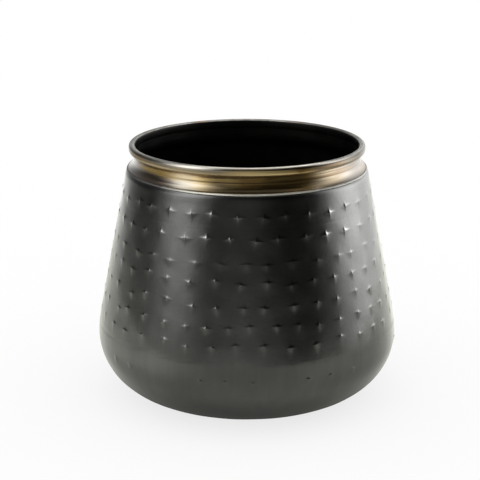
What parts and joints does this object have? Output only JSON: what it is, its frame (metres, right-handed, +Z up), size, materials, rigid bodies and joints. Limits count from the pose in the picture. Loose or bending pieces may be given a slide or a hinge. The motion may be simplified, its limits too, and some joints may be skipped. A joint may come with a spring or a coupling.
{
  "type": "flower pot",
  "caption": "Round hammered sheet-metal flower pot with a rounded belly, a tapered wall, a flared brass neck collar and a rolled wired rim, standing on felt pads.",
  "frame": {"origin": "centre of the pot on the floor plane, under the felt pads", "axes": "+Z up along the pot's axis, -Y towards the viewer, +X to the viewer's right"},
  "size_m": [0.3, 0.3, 0.255],
  "materials": {
    "gunmetal": "blackened satin outside, black lacquer inside",
    "antique_brass": "antiqued, brushed round the pot",
    "steel_wire": "drawn wire",
    "pale_trim": "worn, pale",
    "felt": "pressed felt"
  },
  "bodies": {
    "root": {"hammered_wall": "gunmetal", "base_pan": "gunmetal", "neck_collar": "antique_brass", "rim_wire": "steel_wire", "trim_ring": "pale_trim", "foot_pad_1": "felt", "foot_pad_2": "felt", "foot_pad_3": "felt", "foot_pad_4": "felt"}
  },
  "joints": []
}
